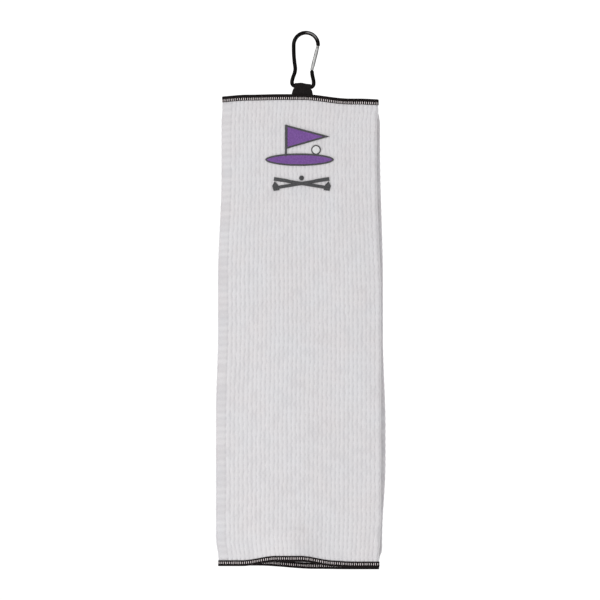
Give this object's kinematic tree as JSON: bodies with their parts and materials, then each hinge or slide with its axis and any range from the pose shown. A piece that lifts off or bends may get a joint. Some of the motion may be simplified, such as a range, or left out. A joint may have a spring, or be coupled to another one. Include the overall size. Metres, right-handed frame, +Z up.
{
  "type": "golf towel",
  "caption": "Waffle-weave towel folded in three, black bound hems, webbing loop and spring-gate carabiner at the top.",
  "frame": {"origin": "the inside top of the carabiner's bow, where a hook or ring carries the towel", "axes": "+Z up along the hanging towel, the embroidered front faces -Y, +X to the right seen from the front"},
  "size_m": [0.1754, 0.0098, 0.5555],
  "materials": {
    "carabiner_black": "satin",
    "gate_silver": "satin",
    "pin_steel": "satin",
    "webbing_black": "matte",
    "binding_black": "matte",
    "overlock_thread": "matte",
    "waffle_cloth": "matte",
    "embroidery_purple": "satin",
    "embroidery_grey": "satin",
    "embroidery_white": "satin"
  },
  "bodies": {
    "carabiner": {"carabiner_body": "carabiner_black", "gate_pivot_pin": "pin_steel", "nose_catch_pin": "pin_steel"},
    "gate": {"gate": "gate_silver", "gate_spring": "pin_steel", "gate_plunger": "pin_steel"},
    "towel_front": {"webbing_loop": "webbing_black", "front_panel_cloth": "waffle_cloth", "front_top_hem": "binding_black", "front_top_hem_thread": "overlock_thread", "front_bottom_hem": "binding_black", "front_bottom_hem_thread": "overlock_thread", "emblem_outline": "embroidery_grey", "emblem_flag": "embroidery_purple", "emblem_green": "embroidery_purple", "emblem_ball": "embroidery_white", "emblem_clubs": "embroidery_grey", "emblem_small_ball": "embroidery_grey", "right_fold_cloth": "waffle_cloth", "right_fold_top_hem": "binding_black", "right_fold_bottom_hem": "binding_black"},
    "towel_middle": {"middle_panel_cloth": "waffle_cloth", "middle_top_hem": "binding_black", "middle_top_hem_thread": "overlock_thread", "middle_bottom_hem": "binding_black", "middle_bottom_hem_thread": "overlock_thread", "left_fold_cloth": "waffle_cloth", "left_fold_top_hem": "binding_black", "left_fold_bottom_hem": "binding_black"},
    "towel_back": {"back_panel_cloth": "waffle_cloth", "back_top_hem": "binding_black", "back_top_hem_thread": "overlock_thread", "back_bottom_hem": "binding_black", "back_bottom_hem_thread": "overlock_thread"}
  },
  "joints": [
    {"name": "gate_hinge", "type": "hinge", "parent": "carabiner", "child": "gate", "pos_m": [0.00639, 0, -0.03552], "axis": [0, -1, 0], "range_deg": [0, 45], "stiffness_Nm_per_rad": 0.03, "springref_deg": -34.38},
    {"name": "towel_swing", "type": "hinge", "parent": "carabiner", "child": "towel_front", "pos_m": [-0.00309, 0, -0.05369], "axis": [0.9974, 0, -0.0715], "range_deg": [-105, 105]},
    {"name": "middle_fold", "type": "hinge", "parent": "towel_front", "child": "towel_middle", "pos_m": [0.078, -0.0017, -0.3], "axis": [0, 0, -1], "range_deg": [0, 179], "deforming": ["right_fold_cloth", "right_fold_top_hem", "right_fold_bottom_hem"]},
    {"name": "back_fold", "type": "hinge", "parent": "towel_middle", "child": "towel_back", "pos_m": [-0.0872, 0.0017, -0.3], "axis": [0, 0, 1], "range_deg": [0, 179], "deforming": ["left_fold_cloth", "left_fold_top_hem", "left_fold_bottom_hem"]}
  ]
}
